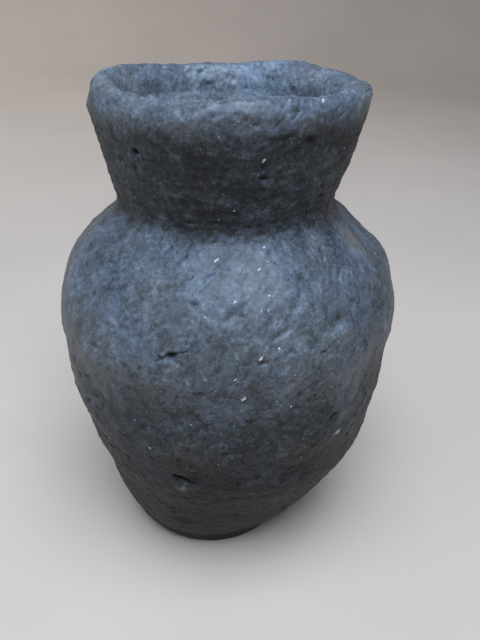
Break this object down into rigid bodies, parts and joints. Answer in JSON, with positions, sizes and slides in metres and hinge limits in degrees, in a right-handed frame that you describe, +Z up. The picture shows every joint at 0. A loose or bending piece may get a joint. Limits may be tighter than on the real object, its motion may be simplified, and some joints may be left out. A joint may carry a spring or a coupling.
{
  "type": "black clay jar",
  "caption": "Small hand-built black clay jar with a narrow foot, egg-shaped body, pinched neck and flared mouth with a thick rounded lip.",
  "frame": {"origin": "under the middle of the body, on the surface that the foot rests on", "axes": "+Z up towards the mouth; -Y is the front, which carries the gouge near the foot"},
  "size_m": [0.0758, 0.0748, 0.1107],
  "materials": {
    "burnished_clay": "smoke-blackened fired clay, rubbed to a low sheen, with sand grains showing",
    "wiped_clay": "smoke-blackened fired clay, wiped and left matte",
    "ground_clay": "smoke-blackened fired clay, unsmoothed and rubbed by standing"
  },
  "bodies": {
    "root": {"base_pad": "ground_clay", "foot_coil": "burnished_clay", "lower_wall_coil": "burnished_clay", "middle_wall_coil": "burnished_clay", "belly_coil": "burnished_clay", "shoulder_coil": "burnished_clay", "neck_coil": "wiped_clay", "rim_coil": "wiped_clay"}
  },
  "joints": []
}
